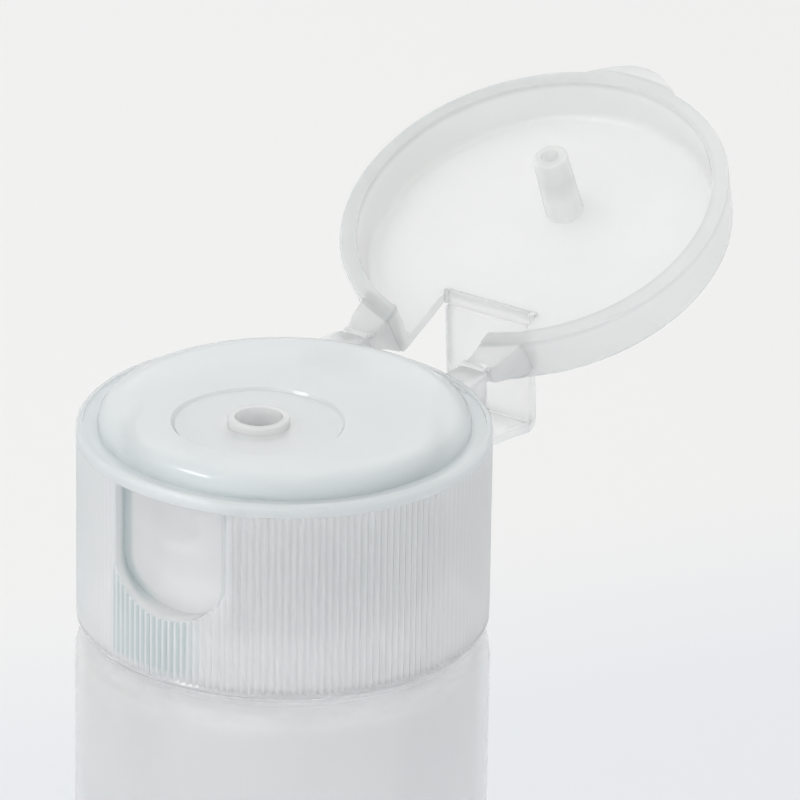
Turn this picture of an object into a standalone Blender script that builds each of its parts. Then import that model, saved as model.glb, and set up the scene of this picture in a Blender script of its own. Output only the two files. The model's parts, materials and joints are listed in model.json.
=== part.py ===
"""Frosted travel bottle with a screw-on flip-top cap, shown with its lid open.

Frame: metres, +Z up, origin at the middle of the bottle's underside.
The thumb recess and the lid's lip face -Y, the lid's hinge faces +Y.
Heights in the cap are counted from the closing plane, where the lid meets the cap base.
"""
import math

import bmesh
import bpy
from mathutils import Matrix, Vector

MM = 0.001

# General sizes and fits
CLEARANCE = 0.3 * MM
FINE_SEGMENTS = 80
SEGMENTS = 64
SMALL_SEGMENTS = 28
EDGE_ROUND = 0.3 * MM
OVERLAP = 0.2 * MM

# Bottle
CLOSING_HEIGHT = 95.0 * MM
BOTTLE_RADIUS = 17.1 * MM
BOTTLE_WALL = 0.9 * MM
BOTTLE_FLOOR = 1.2 * MM
BOTTOM_ROUND = 2.4 * MM
SHOULDER_ROUND = 3.3 * MM
NECK_RADIUS = 10.95 * MM
NECK_WALL = 1.6 * MM
NECK_FOOT_ROUND = 0.8 * MM
THREAD_GAP = 1.2 * MM

# Seal between the bottle's lip and the cap's deck
SEAL_THICKNESS = 1.0 * MM
SEAL_WIDTH = 2.3 * MM

# Cap base
CAP_INSET = 0.1 * MM
CAP_HEIGHT = 17.0 * MM
SKIRT_WALL = 1.1 * MM
RIM_BAND_HEIGHT = 1.05 * MM
RIM_WIDTH = 0.55 * MM
RIM_ROUND = 0.45 * MM
RIM_GROOVE_DEPTH = 0.25 * MM
DOME_CLEARANCE = 0.15 * MM
DECK_RISE = 1.55 * MM
DECK_DISH = 0.3 * MM
DECK_INSET = 3.65 * MM
DISH_FLAT_RADIUS = 7.35 * MM
DECK_THICKNESS = 1.45 * MM
SHELF_THICKNESS = 1.5 * MM
SLEEVE_WALL = 1.2 * MM
SLEEVE_LENGTH = 12.9 * MM

# Grip ribs round the cap base
RIB_COUNT = 180
RIB_DEPTH = 0.26 * MM
RIB_END = 0.35 * MM
RIB_PHASE = math.radians(0.3)
RIB_SINK = 0.025 * MM

# Thumb recess in the front of the cap base
RECESS_HALF_WIDTH = 5.35 * MM
RECESS_TOP = 1.1 * MM
RECESS_STRAIGHT = 6.3 * MM
RECESS_HEIGHT = 10.4 * MM
RECESS_DEPTH = 2.3 * MM
RECESS_WALL = 1.0 * MM

# Orifice in the deck, and the lid's pin that closes it
ORIFICE_OFFSET = 3.65 * MM
PIN_TIP_RADIUS = 1.5 * MM
PIN_ROOT_RADIUS = 1.65 * MM
PIN_LENGTH = 6.3 * MM
PIN_BORE_RADIUS = 0.75 * MM
PIN_BORE_DEPTH = 4.6 * MM
NOZZLE_WALL = 0.6 * MM
NOZZLE_RISE = 0.45 * MM
NOZZLE_FLOOR = 0.9 * MM
OUTLET_RADIUS = 1.05 * MM
DISH_RING_RADIUS = 6.8 * MM
DISH_RING_DEPTH = 0.22 * MM

# Lid
LID_INSET = 0.2 * MM
LID_TAPER = 0.4 * MM
LID_HEIGHT = 4.75 * MM
LID_PLATE = 0.9 * MM
LID_RIM_WALL = 1.4 * MM
LID_ROOT_WALL = 1.35 * MM
LID_EDGE_ROUND = 0.7 * MM
LID_CORNER_FILLET = 0.6 * MM
LIP_HALF_WIDTH = 4.6 * MM
LIP_REACH = 1.5 * MM
LIP_THICKNESS = 0.95 * MM
LIP_SINK = 0.13 * MM
LIP_LIFT = 0.05 * MM

# Hinge line at the back, in the closing plane, and its two ears
HINGE_REACH = 1.7 * MM
OPEN_ANGLE = math.radians(156.2)
FILM_RADIUS = 0.25 * MM
EAR_WIDTH = 2.25 * MM
EAR_TIP = 0.55 * MM
EAR_ROOT = 3.3 * MM
EAR_DROP = 0.35 * MM
EAR_LIFT = 0.45 * MM
EAR_SETBACK = 0.05 * MM

# Spring strap between the ears: a lower and an upper leaf
STRAP_WIDTH = 8.7 * MM
STRAP_THICKNESS = 0.9 * MM
STRAP_FOOT_DROP = 8.3 * MM
STRAP_FOOT_PROUD = 0.45 * MM
STRAP_CORNER_INSET = 0.15 * MM
STRAP_UPPER_LENGTH = 9.85 * MM
POCKET_DEPTH = 0.4 * MM
ANCHOR_HEIGHT = 1.5 * MM

# Sizes worked out from the ones above
CAP_RADIUS = BOTTLE_RADIUS - CAP_INSET
LID_RADIUS = CAP_RADIUS - LID_INSET
LID_TOP_RADIUS = LID_RADIUS - LID_TAPER
DOME_FOOT_RADIUS = LID_RADIUS - LID_RIM_WALL - DOME_CLEARANCE
DECK_EDGE_RADIUS = CAP_RADIUS - DECK_INSET
SLEEVE_BORE = NECK_RADIUS + THREAD_GAP
RECESS_FLOOR = CAP_RADIUS - RECESS_DEPTH
HINGE_Y = CAP_RADIUS + HINGE_REACH
CAP_BOTTOM = CLOSING_HEIGHT - CAP_HEIGHT
SHOULDER_TOP = CAP_BOTTOM - CLEARANCE
DECK_UNDERSIDE = CLOSING_HEIGHT + DECK_RISE - DECK_DISH - DECK_THICKNESS
LIP_TOP = DECK_UNDERSIDE - SEAL_THICKNESS - 2 * CLEARANCE
SEAL_OUTER = SLEEVE_BORE - CLEARANCE
PIN_CENTRE_Y = -ORIFICE_OFFSET
ORIFICE_RADIUS = PIN_ROOT_RADIUS + CLEARANCE
LID_RIM = CLOSING_HEIGHT + CLEARANCE
LID_TOP = LID_RIM + LID_HEIGHT
LID_CEILING = LID_TOP - LID_PLATE
PIN_TIP = LID_CEILING - PIN_LENGTH
NOZZLE_BOTTOM = PIN_TIP - 3 * CLEARANCE - NOZZLE_FLOOR
NOTCH_HALF_WIDTH = STRAP_WIDTH / 2 + CLEARANCE
FILM_REACH = FILM_RADIUS + CLEARANCE
EAR_INNER = NOTCH_HALF_WIDTH + CLEARANCE / 2
EAR_MIDDLE = EAR_INNER + EAR_WIDTH / 2

HINGE = Vector((0.0, HINGE_Y, CLOSING_HEIGHT))
STRAP_LEVEL = LID_TOP - STRAP_THICKNESS / 2
STRAP_FOOT = Vector((0.0, CAP_RADIUS + STRAP_FOOT_PROUD, CLOSING_HEIGHT - STRAP_FOOT_DROP))
STRAP_CORNER_SHUT = Vector((0.0, HINGE_Y - STRAP_CORNER_INSET, STRAP_LEVEL))
STRAP_END_SHUT = STRAP_CORNER_SHUT - Vector((0.0, STRAP_UPPER_LENGTH, 0.0))
NOTCH_WALL_Y = STRAP_END_SHUT.y - FILM_REACH


def clear_scene():
    """Remove every object, so that the model is the only thing in the file."""
    for item in list(bpy.data.objects):
        bpy.data.objects.remove(item, do_unlink=True)


def new_collection(name):
    """Make a collection under the scene."""
    group = bpy.data.collections.new(name)
    bpy.context.scene.collection.children.link(group)
    return group


def plastic(name, colour, roughness):
    """Make a Principled material for one moulded piece."""
    material = bpy.data.materials.new(name)
    material.use_nodes = True
    shader = material.node_tree.nodes["Principled BSDF"]
    shader.inputs["Base Color"].default_value = (*colour, 1.0)
    shader.inputs["Roughness"].default_value = roughness
    shader.inputs["Metallic"].default_value = 0.0
    return material


def arc(centre_r, centre_z, radius, start, end, steps):
    """List points of an arc in a turned profile, with angles in degrees."""
    points = []
    for step in range(steps + 1):
        angle = math.radians(start + (end - start) * step / steps)
        points.append((centre_r + radius * math.cos(angle), centre_z + radius * math.sin(angle)))
    return points


def helper(item):
    """Move an object to the cutters' collection and keep it out of the model."""
    for group in list(item.users_collection):
        group.objects.unlink(item)
    CUTTERS.objects.link(item)
    item.hide_render = True
    item.display_type = "WIRE"
    return item


def turned(name, profile, segments, closed=False, centre=(0.0, 0.0)):
    """Revolve a profile of (radius, height) points about an upright axis."""
    mesh = bpy.data.meshes.new(name)
    vertices = [(radius, 0.0, height) for radius, height in profile]
    edges = [(index, index + 1) for index in range(len(profile) - 1)]
    if closed:
        edges.append((len(profile) - 1, 0))
    mesh.from_pydata(vertices, edges, [])
    item = bpy.data.objects.new(name, mesh)
    item.location = (centre[0], centre[1], 0.0)
    screw = item.modifiers.new("turn", "SCREW")
    screw.steps = segments
    screw.render_steps = segments
    screw.use_merge_vertices = True
    screw.merge_threshold = 0.00001
    screw.use_smooth_shade = True
    return helper(item)


def drum(name, radius, low, high, segments=FINE_SEGMENTS, centre=(0.0, 0.0)):
    """Make a plain upright cylinder between two heights."""
    profile = [(0.0, high), (radius, high), (radius, low), (0.0, low)]
    return turned(name, profile, segments, centre=centre)


def block(name, low, high):
    """Make a box between two corners."""
    bpy.ops.mesh.primitive_cube_add(size=1.0)
    item = bpy.context.object
    item.name = name
    span = Vector(high) - Vector(low)
    middle = (Vector(high) + Vector(low)) / 2
    item.data.transform(Matrix.Translation(middle) @ Matrix.Diagonal((*span, 1.0)))
    return helper(item)


def extruded(name, outlines, thickness, turn, place):
    """Fill flat outlines, give them a thickness and turn them into place as a mesh."""
    curve = bpy.data.curves.new(name, "CURVE")
    curve.dimensions = "2D"
    curve.fill_mode = "BOTH"
    curve.extrude = thickness / 2
    curve.render_resolution_u = 0
    for outline in outlines:
        spline = curve.splines.new("POLY")
        spline.points.add(len(outline) - 1)
        spline.use_cyclic_u = True
        for point, (u, v) in zip(spline.points, outline):
            point.co = (u, v, 0.0, 1.0)
    item = bpy.data.objects.new(name, curve)
    item.matrix_world = Matrix.Translation(place) @ turn
    return welded(item)


def welded(curve_item):
    """Replace a curve object by a mesh whose caps are joined to its sides."""
    CUTTERS.objects.link(curve_item)
    bpy.context.view_layer.update()
    graph = bpy.context.evaluated_depsgraph_get()
    mesh = bpy.data.meshes.new_from_object(curve_item.evaluated_get(graph))
    body = bmesh.new()
    body.from_mesh(mesh)
    bmesh.ops.remove_doubles(body, verts=body.verts, dist=0.000001)
    bmesh.ops.recalc_face_normals(body, faces=body.faces)
    body.to_mesh(mesh)
    body.free()
    item = bpy.data.objects.new(curve_item.name, mesh)
    item.matrix_world = curve_item.matrix_world
    bpy.data.objects.remove(curve_item)
    return helper(item)


def combine(target, other, operation):
    """Join, cut or trim one object by another."""
    step = target.modifiers.new(other.name, "BOOLEAN")
    step.operation = operation
    step.solver = "EXACT"
    step.object = other


def settle(item, name, pivot, material, turn=0.0, sharp=30.0):
    """Turn a worked shape into a finished piece whose origin is its pivot.

    The shape is made with the lid shut. The piece is then swung about the X axis
    through its pivot, to where it lies with the lid open.
    """
    bpy.context.view_layer.update()
    graph = bpy.context.evaluated_depsgraph_get()
    mesh = bpy.data.meshes.new_from_object(item.evaluated_get(graph))
    mesh.transform(Matrix.Translation(-pivot) @ item.matrix_world)
    mesh.materials.clear()
    mesh.materials.append(material)
    mesh.shade_smooth()
    mesh.set_sharp_from_angle(angle=math.radians(sharp))
    item.name = name + "_shape"
    piece = bpy.data.objects.new(name, mesh)
    piece.location = pivot
    piece.rotation_euler = (turn, 0.0, 0.0)
    PARTS.objects.link(piece)
    return piece


def along_x():
    """Turn an outline drawn in (y, z) so that its thickness runs along X."""
    return Matrix(((0, 0, 1, 0), (1, 0, 0, 0), (0, 1, 0, 0), (0, 0, 0, 1)))


def along_y():
    """Turn an outline drawn in (x, z) so that its thickness runs along Y."""
    return Matrix(((1, 0, 0, 0), (0, 0, -1, 0), (0, 1, 0, 0), (0, 0, 0, 1)))


def circle(radius, count):
    """List the points of a circle round the origin."""
    angles = [2 * math.pi * index / count for index in range(count)]
    return [(radius * math.cos(angle), radius * math.sin(angle)) for angle in angles]


def bottle_body():
    """Blow-moulded cylinder with a rounded shoulder and a hollow neck."""
    bottom_inner = BOTTOM_ROUND - BOTTLE_WALL
    shoulder_inner = SHOULDER_ROUND - BOTTLE_WALL
    inner_radius = BOTTLE_RADIUS - BOTTLE_WALL
    mouth = NECK_RADIUS - NECK_WALL
    foot = NECK_FOOT_ROUND
    profile = [(0.0, BOTTLE_FLOOR)]
    profile += arc(inner_radius - bottom_inner, BOTTLE_FLOOR + bottom_inner, bottom_inner, -90, 0, 2)
    shoulder_z = SHOULDER_TOP - SHOULDER_ROUND
    profile += arc(inner_radius - shoulder_inner, shoulder_z, shoulder_inner, 0, 90, 3)
    inner_foot = foot + NECK_WALL / 2
    inner_roof = SHOULDER_TOP - BOTTLE_WALL
    profile += arc(mouth + inner_foot, inner_roof + inner_foot, inner_foot, 270, 180, 2)
    lip = EDGE_ROUND
    profile += arc(mouth + lip, LIP_TOP - lip, lip, 180, 90, 1)
    profile += arc(NECK_RADIUS - lip, LIP_TOP - lip, lip, 90, 0, 1)
    profile += arc(NECK_RADIUS + foot, SHOULDER_TOP + foot, foot, 180, 270, 2)
    profile += arc(BOTTLE_RADIUS - SHOULDER_ROUND, shoulder_z, SHOULDER_ROUND, 90, 0, 6)
    profile += arc(BOTTLE_RADIUS - BOTTOM_ROUND, BOTTOM_ROUND, BOTTOM_ROUND, 0, -90, 4)
    profile.append((0.0, 0.0))
    shape = turned("bottle_turned", profile, SEGMENTS)
    colour = plastic("frosted bottle plastic", (0.80, 0.81, 0.81), 0.42)
    settle(shape, "bottle_body", Vector((0.0, 0.0, 0.0)), colour)


def neck_seal():
    """Soft flat ring between the bottle's lip and the cap's deck."""
    low = LIP_TOP + CLEARANCE
    high = low + SEAL_THICKNESS
    inner = SEAL_OUTER - SEAL_WIDTH
    profile = [(inner, high), (SEAL_OUTER, high), (SEAL_OUTER, low), (inner, low)]
    shape = turned("seal_turned", profile, SMALL_SEGMENTS, closed=True)
    colour = plastic("seal foam", (0.86, 0.86, 0.84), 0.7)
    settle(shape, "neck_seal", Vector((0.0, 0.0, low)), colour)


def rib_crest():
    """Radius of the ribs' crests, just inside the flats of the turned rim band."""
    return CAP_RADIUS * math.cos(math.pi / FINE_SEGMENTS) - RIB_SINK


def ribbed_wall():
    """Solid round wall with fine upright grip ribs."""
    outline = []
    for index in range(2 * RIB_COUNT):
        radius = rib_crest() - RIB_DEPTH * (index % 2)
        angle = RIB_PHASE + math.pi * index / RIB_COUNT
        outline.append((radius * math.cos(angle), radius * math.sin(angle)))
    height = CAP_HEIGHT - RIM_BAND_HEIGHT + OVERLAP
    place = Vector((0.0, 0.0, CAP_BOTTOM + height / 2))
    return extruded("ribbed_wall", [outline], height, Matrix.Identity(4), place)


def rib_chamfer():
    """Cutter for the sloping lower ends of the ribs."""
    outer = CAP_RADIUS + RIB_END
    inner = rib_crest() - RIB_END - CLEARANCE
    low = CAP_BOTTOM - CLEARANCE
    high = CAP_BOTTOM + RIB_END + CLEARANCE
    profile = [(outer, high), (outer, low), (inner, low), (rib_crest() + CLEARANCE, high)]
    return turned("rib_chamfer", profile, SEGMENTS, closed=True)


def cap_crown():
    """Turned top of the cap base: dished deck, domed shoulder, groove and rim band."""
    rim_inner = CAP_RADIUS - RIM_WIDTH
    groove_floor = CLOSING_HEIGHT - RIM_GROOVE_DEPTH
    deck_top = CLOSING_HEIGHT + DECK_RISE
    band_low = CLOSING_HEIGHT - RIM_BAND_HEIGHT
    profile = [(0.0, deck_top - DECK_DISH), (DISH_FLAT_RADIUS, deck_top - DECK_DISH)]
    profile.append((DECK_EDGE_RADIUS - 2 * EDGE_ROUND, deck_top))
    profile += dome_side(DOME_FOOT_RADIUS, deck_top)
    profile += [(DOME_FOOT_RADIUS, groove_floor), (rim_inner, groove_floor), (rim_inner, CLOSING_HEIGHT)]
    profile += arc(CAP_RADIUS - RIM_ROUND, CLOSING_HEIGHT - RIM_ROUND, RIM_ROUND, 90, 0, 3)
    profile += [(CAP_RADIUS, band_low), (0.0, band_low)]
    return turned("cap_crown", profile, FINE_SEGMENTS)


def cap_hollow():
    """Cutter for the inside of the cap base, which leaves the skirt, shelf and screw sleeve."""
    skirt_inner = CAP_RADIUS - SKIRT_WALL
    shelf = CLOSING_HEIGHT - SHELF_THICKNESS
    sleeve_outer = SLEEVE_BORE + SLEEVE_WALL
    sleeve_foot = CLOSING_HEIGHT - SLEEVE_LENGTH
    low = CAP_BOTTOM - SKIRT_WALL
    profile = [(0.0, DECK_UNDERSIDE), (SLEEVE_BORE, DECK_UNDERSIDE)]
    profile += [(SLEEVE_BORE, sleeve_foot), (sleeve_outer, sleeve_foot)]
    profile += [(sleeve_outer, shelf), (skirt_inner, shelf), (skirt_inner, low), (0.0, low)]
    return turned("cap_hollow", profile, SEGMENTS)


def dome_side(foot_radius, top):
    """List the quarter-ellipse points from the deck's edge down to the rim groove."""
    rise = top - CLOSING_HEIGHT
    width = foot_radius - DECK_EDGE_RADIUS
    points = []
    for step in range(5):
        angle = math.radians(90 - 90 * step / 4)
        points.append((DECK_EDGE_RADIUS + width * math.cos(angle), CLOSING_HEIGHT + rise * math.sin(angle)))
    return points


def thumb_recess():
    """Cutter for the recess: straight sides, a half-ellipse foot and a flat floor."""
    top = CLOSING_HEIGHT - RECESS_TOP
    turn_z = top - RECESS_STRAIGHT
    bottom_rise = RECESS_HEIGHT - RECESS_STRAIGHT
    outline = [(-RECESS_HALF_WIDTH, top)]
    steps = 16
    for step in range(steps + 1):
        angle = math.pi * (1 + step / steps)
        outline.append((RECESS_HALF_WIDTH * math.cos(angle), turn_z + bottom_rise * math.sin(angle)))
    outline.append((RECESS_HALF_WIDTH, top))
    depth = CAP_RADIUS - RECESS_FLOOR + 2 * SKIRT_WALL
    place = Vector((0.0, -RECESS_FLOOR - depth / 2, 0.0))
    return extruded("thumb_recess", [outline], depth, along_y(), place)


def recess_backing():
    """Solid behind the thumb recess, which keeps its floor one wall thick."""
    side = RECESS_HALF_WIDTH + RECESS_WALL
    back = -(SLEEVE_BORE + SLEEVE_WALL / 2)
    low = CLOSING_HEIGHT - RECESS_TOP - RECESS_HEIGHT - RECESS_WALL
    high = CLOSING_HEIGHT - SHELF_THICKNESS + OVERLAP
    body = block("recess_backing", (-side, -CAP_RADIUS, low), (side, back, high))
    limit = drum("backing_limit", CAP_RADIUS - SKIRT_WALL / 2, low - SKIRT_WALL, high + SKIRT_WALL)
    combine(body, limit, "INTERSECT")
    return body


def strap_pocket():
    """Cutter for the smooth strip of wall where the strap lies with the lid shut."""
    low = STRAP_FOOT.z - FILM_REACH - OVERLAP
    high = CLOSING_HEIGHT - RIM_BAND_HEIGHT - OVERLAP
    body = block("strap_pocket", (-NOTCH_HALF_WIDTH, 0.0, low), (NOTCH_HALF_WIDTH, 2 * CAP_RADIUS, high))
    core = drum("pocket_core", CAP_RADIUS - POCKET_DEPTH, low - SKIRT_WALL, high + SKIRT_WALL)
    combine(body, core, "DIFFERENCE")
    return body


def strap_anchor():
    """Small ledge under the pocket, which holds the strap's lower film."""
    top = STRAP_FOOT.z - FILM_REACH
    wall_y = math.sqrt((CAP_RADIUS - SKIRT_WALL / 2) ** 2 - (STRAP_WIDTH / 2) ** 2)
    tip_y = STRAP_FOOT.y
    slope_z = top - ANCHOR_HEIGHT
    outline = [(wall_y, top), (tip_y, top), (tip_y, top - ANCHOR_HEIGHT / 3), (wall_y, slope_z)]
    return extruded("strap_anchor", [outline], STRAP_WIDTH, along_x(), Vector((0.0, 0.0, 0.0)))


def ear(name, wall_radius, side, upward):
    """Wedge-shaped hinge ear on the wall of the cap base or the lid."""
    outer_x = EAR_INNER + EAR_WIDTH
    root_y = math.sqrt(wall_radius ** 2 - outer_x ** 2)
    tip_y = HINGE_Y - FILM_REACH
    sign = 1 if upward else -1
    rim = LID_RIM if upward else CLOSING_HEIGHT
    tip_z = CLOSING_HEIGHT + (EAR_LIFT if upward else -EAR_DROP)
    outline = [(root_y, rim + sign * EAR_SETBACK), (tip_y, tip_z)]
    outline += [(tip_y, tip_z + sign * EAR_TIP), (root_y, rim + sign * (EAR_ROOT + OVERLAP))]
    place = Vector((side * EAR_MIDDLE, 0.0, 0.0))
    return extruded(name, [outline], EAR_WIDTH, along_x(), place)


def nozzle():
    """Tube round the orifice: a seat for the pin, with a narrower outlet below it."""
    outer = ORIFICE_RADIUS + NOZZLE_WALL
    top = CLOSING_HEIGHT + DECK_RISE - DECK_DISH + NOZZLE_RISE
    seat = NOZZLE_BOTTOM + NOZZLE_FLOOR
    edge = NOZZLE_WALL / 3
    profile = [(ORIFICE_RADIUS, top)]
    profile += arc(outer - edge, top - edge, edge, 90, 0, 2)
    profile += [(outer, NOZZLE_BOTTOM), (OUTLET_RADIUS, NOZZLE_BOTTOM)]
    profile += [(OUTLET_RADIUS, seat), (ORIFICE_RADIUS, seat)]
    tube = turned("nozzle", profile, SMALL_SEGMENTS, closed=True, centre=(0.0, PIN_CENTRE_Y))
    tube.rotation_euler.z = RIB_PHASE
    return tube


def nozzle_hole():
    """Cutter that opens the deck and leaves its edge inside the nozzle's wall."""
    radius = ORIFICE_RADIUS + NOZZLE_WALL / 2
    low = DECK_UNDERSIDE - DECK_THICKNESS
    return drum("nozzle_hole", radius, low, LID_CEILING, SMALL_SEGMENTS, (0.0, PIN_CENTRE_Y))


def dish_ring():
    """Cutter for the shallow round step in the deck, centred on the orifice."""
    floor = CLOSING_HEIGHT + DECK_RISE - DECK_DISH - DISH_RING_DEPTH
    slope = 2 * DISH_RING_DEPTH
    profile = [(0.0, floor + slope), (DISH_RING_RADIUS + slope, floor + slope)]
    profile += [(DISH_RING_RADIUS, floor), (0.0, floor)]
    return turned("dish_ring", profile, SEGMENTS, centre=(0.0, PIN_CENTRE_Y))


def cap_base():
    """Screw-on base of the cap, with ribs, thumb recess, orifice and hinge ears."""
    shape = cap_crown()
    combine(shape, ribbed_wall(), "UNION")
    combine(shape, cap_hollow(), "DIFFERENCE")
    combine(shape, rib_chamfer(), "DIFFERENCE")
    combine(shape, strap_pocket(), "DIFFERENCE")
    combine(shape, recess_backing(), "UNION")
    combine(shape, thumb_recess(), "DIFFERENCE")
    combine(shape, dish_ring(), "DIFFERENCE")
    combine(shape, nozzle_hole(), "DIFFERENCE")
    combine(shape, nozzle(), "UNION")
    combine(shape, strap_anchor(), "UNION")
    ear_root = CAP_RADIUS - SKIRT_WALL / 2
    for side, label in ((-1, "left"), (1, "right")):
        combine(shape, ear("base_ear_" + label, ear_root, side, False), "UNION")
    colour = plastic("frosted cap plastic", (0.80, 0.82, 0.82), 0.38)
    settle(shape, "cap_base", Vector((0.0, 0.0, CAP_BOTTOM)), colour)


def lid_shell():
    """Turned lid: flat plate with a rounded edge and a tapering skirt."""
    corner = LID_EDGE_ROUND
    fillet = LID_CORNER_FILLET
    inner_rim = LID_RADIUS - LID_RIM_WALL
    inner_root = LID_TOP_RADIUS - LID_ROOT_WALL
    rim_round = EDGE_ROUND
    profile = [(0.0, LID_TOP)]
    profile += arc(LID_TOP_RADIUS - corner, LID_TOP - corner, corner, 90, 0, 4)
    profile += arc(LID_RADIUS - rim_round, LID_RIM + rim_round, rim_round, 0, -90, 2)
    profile.append((inner_rim, LID_RIM))
    profile += arc(inner_root - fillet, LID_CEILING - fillet, fillet, 0, 90, 3)
    profile.append((0.0, LID_CEILING))
    return turned("lid_turned", profile, FINE_SEGMENTS)


def lid_lip():
    """Thumb lip at the lid's free end, in line with its rim."""
    inner = LID_RADIUS - LID_RIM_WALL / 2
    steps = 14
    outer_edge = []
    inner_edge = []
    for step in range(steps + 1):
        share = -1 + 2 * step / steps
        x = share * LIP_HALF_WIDTH
        reach = LIP_REACH * math.cos(share * math.pi / 2)
        outer_edge.append((x, -math.sqrt(LID_RADIUS ** 2 - x ** 2) + LIP_SINK - reach))
        inner_edge.append((x, -math.sqrt(inner ** 2 - x ** 2)))
    outline = outer_edge + inner_edge[::-1]
    place = Vector((0.0, 0.0, LID_RIM + LIP_THICKNESS / 2 + LIP_LIFT))
    return extruded("lid_lip", [outline], LIP_THICKNESS, Matrix.Identity(4), place)


def lid_pin():
    """Hollow pin under the plate, which stops the orifice."""
    root = LID_CEILING + LID_PLATE / 2
    tip = PIN_TIP
    edge = EDGE_ROUND
    profile = [(0.0, root), (PIN_ROOT_RADIUS, root), (PIN_ROOT_RADIUS, LID_CEILING)]
    profile += arc(PIN_TIP_RADIUS - edge, tip + edge, edge, 0, -90, 3)
    profile += [(PIN_BORE_RADIUS, tip), (PIN_BORE_RADIUS, tip + PIN_BORE_DEPTH)]
    profile.append((0.0, tip + PIN_BORE_DEPTH))
    return turned("lid_pin", profile, SMALL_SEGMENTS, centre=(0.0, PIN_CENTRE_Y))


def lid():
    """Flip-top lid with its pin, thumb lip, strap notch and hinge ears."""
    shape = lid_shell()
    combine(shape, lid_pin(), "UNION")
    combine(shape, lid_lip(), "UNION")
    ear_root = LID_RADIUS - LID_RIM_WALL / 2
    for side, label in ((-1, "left"), (1, "right")):
        combine(shape, ear("lid_ear_" + label, ear_root, side, True), "UNION")
    low = (-NOTCH_HALF_WIDTH, NOTCH_WALL_Y, LID_RIM - LID_PLATE)
    high = (NOTCH_HALF_WIDTH, 2 * LID_RADIUS, LID_TOP + LID_PLATE)
    combine(shape, block("lid_notch", low, high), "DIFFERENCE")
    colour = plastic("frosted lid plastic", (0.82, 0.83, 0.82), 0.35)
    settle(shape, "lid", HINGE, colour, turn=-OPEN_ANGLE)


def film(name, point, middle_x, width, turn=0.0):
    """Thin flexing web at a fold, as a round bead on the fold's own line."""
    bpy.ops.mesh.primitive_cylinder_add(vertices=12, radius=FILM_RADIUS, depth=width)
    item = bpy.context.object
    item.data.transform(Matrix.Rotation(math.pi / 2, 4, "Y"))
    item.location = point + Vector((middle_x, 0.0, 0.0))
    colour = plastic(name + " plastic", (0.84, 0.85, 0.84), 0.4)
    settle(helper(item), name, item.location.copy(), colour, turn=turn)


def leaf(name, start, end, turn):
    """Flat strap leaf that spans two folds, with its origin on the first one."""
    span = end - start
    length = span.length - 2 * FILM_REACH
    size = Vector((STRAP_WIDTH / 2, length / 2, STRAP_THICKNESS / 2))
    item = block(name + "_block", -size, size)
    item.rotation_euler = (math.atan2(span.z, span.y), 0.0, 0.0)
    item.location = (start + end) / 2
    bevel = item.modifiers.new("edges", "BEVEL")
    bevel.width = STRAP_THICKNESS / 4
    bevel.segments = 2
    colour = plastic(name + " plastic", (0.82, 0.84, 0.84), 0.36)
    settle(item, name, start, colour, turn=turn)


def swing(point, centre, angle):
    """Turn a point about the X axis through a centre."""
    return centre + Matrix.Rotation(angle, 3, "X") @ (point - centre)


def open_corner(foot, foot_length, end, end_length):
    """Find the strap's outer corner, from the two leaf lengths and their far ends."""
    across = end - foot
    distance = across.length
    along = (foot_length ** 2 - end_length ** 2 + distance ** 2) / (2 * distance)
    offset = math.sqrt(foot_length ** 2 - along ** 2)
    direction = across / distance
    square = Vector((0.0, direction.z, -direction.y))
    return foot + along * direction + offset * square


def bearing(start, end):
    """Angle of a leaf about the X axis, counted from +Y towards +Z."""
    return math.atan2(end.z - start.z, end.y - start.y)


def strap():
    """Snap spring: two leaves joined by a corner film, folded out at rest."""
    foot_length = (STRAP_CORNER_SHUT - STRAP_FOOT).length
    end_open = swing(STRAP_END_SHUT, HINGE, -OPEN_ANGLE)
    corner_open = open_corner(STRAP_FOOT, foot_length, end_open, STRAP_UPPER_LENGTH)
    lower_turn = bearing(STRAP_FOOT, corner_open) - bearing(STRAP_FOOT, STRAP_CORNER_SHUT)
    upper_turn = bearing(corner_open, end_open) - bearing(STRAP_CORNER_SHUT, STRAP_END_SHUT)
    upper_turn = math.remainder(upper_turn, 2 * math.pi)
    leaf("strap_lower_leaf", STRAP_FOOT, STRAP_CORNER_SHUT, lower_turn)
    leaf("strap_upper_leaf", STRAP_CORNER_SHUT, STRAP_END_SHUT, upper_turn)
    bpy.data.objects["strap_upper_leaf"].location = corner_open
    film("strap_film_base", STRAP_FOOT, 0.0, STRAP_WIDTH)
    film("strap_film_corner", corner_open, 0.0, STRAP_WIDTH)
    film("strap_film_lid", end_open, 0.0, STRAP_WIDTH)
    for name, value in (("lower", lower_turn), ("upper", upper_turn)):
        print("strap", name, "turn in degrees", round(math.degrees(value), 4))
    print("upper leaf against lower", round(math.degrees(upper_turn - lower_turn), 4))
    for name, point in (("foot", STRAP_FOOT), ("corner", corner_open), ("end", end_open)):
        print("strap", name, [round(value, 6) for value in point])


clear_scene()
PARTS = new_collection("travel_bottle")
CUTTERS = new_collection("cutters")
bottle_body()
neck_seal()
cap_base()
lid()
film("hinge_film_left", HINGE, -EAR_MIDDLE, EAR_WIDTH)
film("hinge_film_right", HINGE, EAR_MIDDLE, EAR_WIDTH)
strap()
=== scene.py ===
"""Looks of a frosted travel bottle with a ribbed screw cap and a flip-top lid.

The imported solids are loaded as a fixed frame. Each one gets its moulded finish, the screw
threads and the bending webs are added, and the floor, lamps and camera are set up.
Lengths are in metres, +Z is up, and the thumb recess faces -Y.
"""

import json
import math

import bmesh
import bpy
from bpy.props import FloatProperty, FloatVectorProperty, IntProperty, PointerProperty
from mathutils import Matrix, Vector
from mathutils.geometry import interpolate_bezier


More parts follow.
